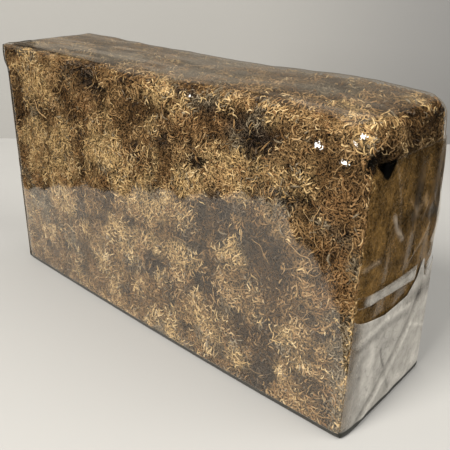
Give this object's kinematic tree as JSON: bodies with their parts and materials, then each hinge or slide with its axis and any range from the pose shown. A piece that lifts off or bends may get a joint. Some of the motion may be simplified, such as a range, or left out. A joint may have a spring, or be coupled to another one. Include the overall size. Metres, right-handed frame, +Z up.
{
  "type": "pressed sphagnum moss block in a clear film wrapper",
  "caption": "Compressed brick of dried sphagnum moss strands, wrapped tightly in clear film with parcel-folded ends, standing on its long narrow side.",
  "frame": {"origin": "middle of the narrow long face that the block stands on, at the bottom of the object's box", "axes": "+Z up, +X along the block's length, +Y through its thickness from the front face to the back face with the lap seam"},
  "size_m": [0.305, 0.0905, 0.1731],
  "materials": {
    "dried_moss": "dry matted moss strands, straw, tan and rust over dark brown gaps, matte",
    "clear_film": "clear glossy wrapping film, creased and slightly hazy where it is folded in layers"
  },
  "bodies": {
    "root": {"moss_block": "dried_moss", "film_wrap": "clear_film"}
  },
  "joints": []
}
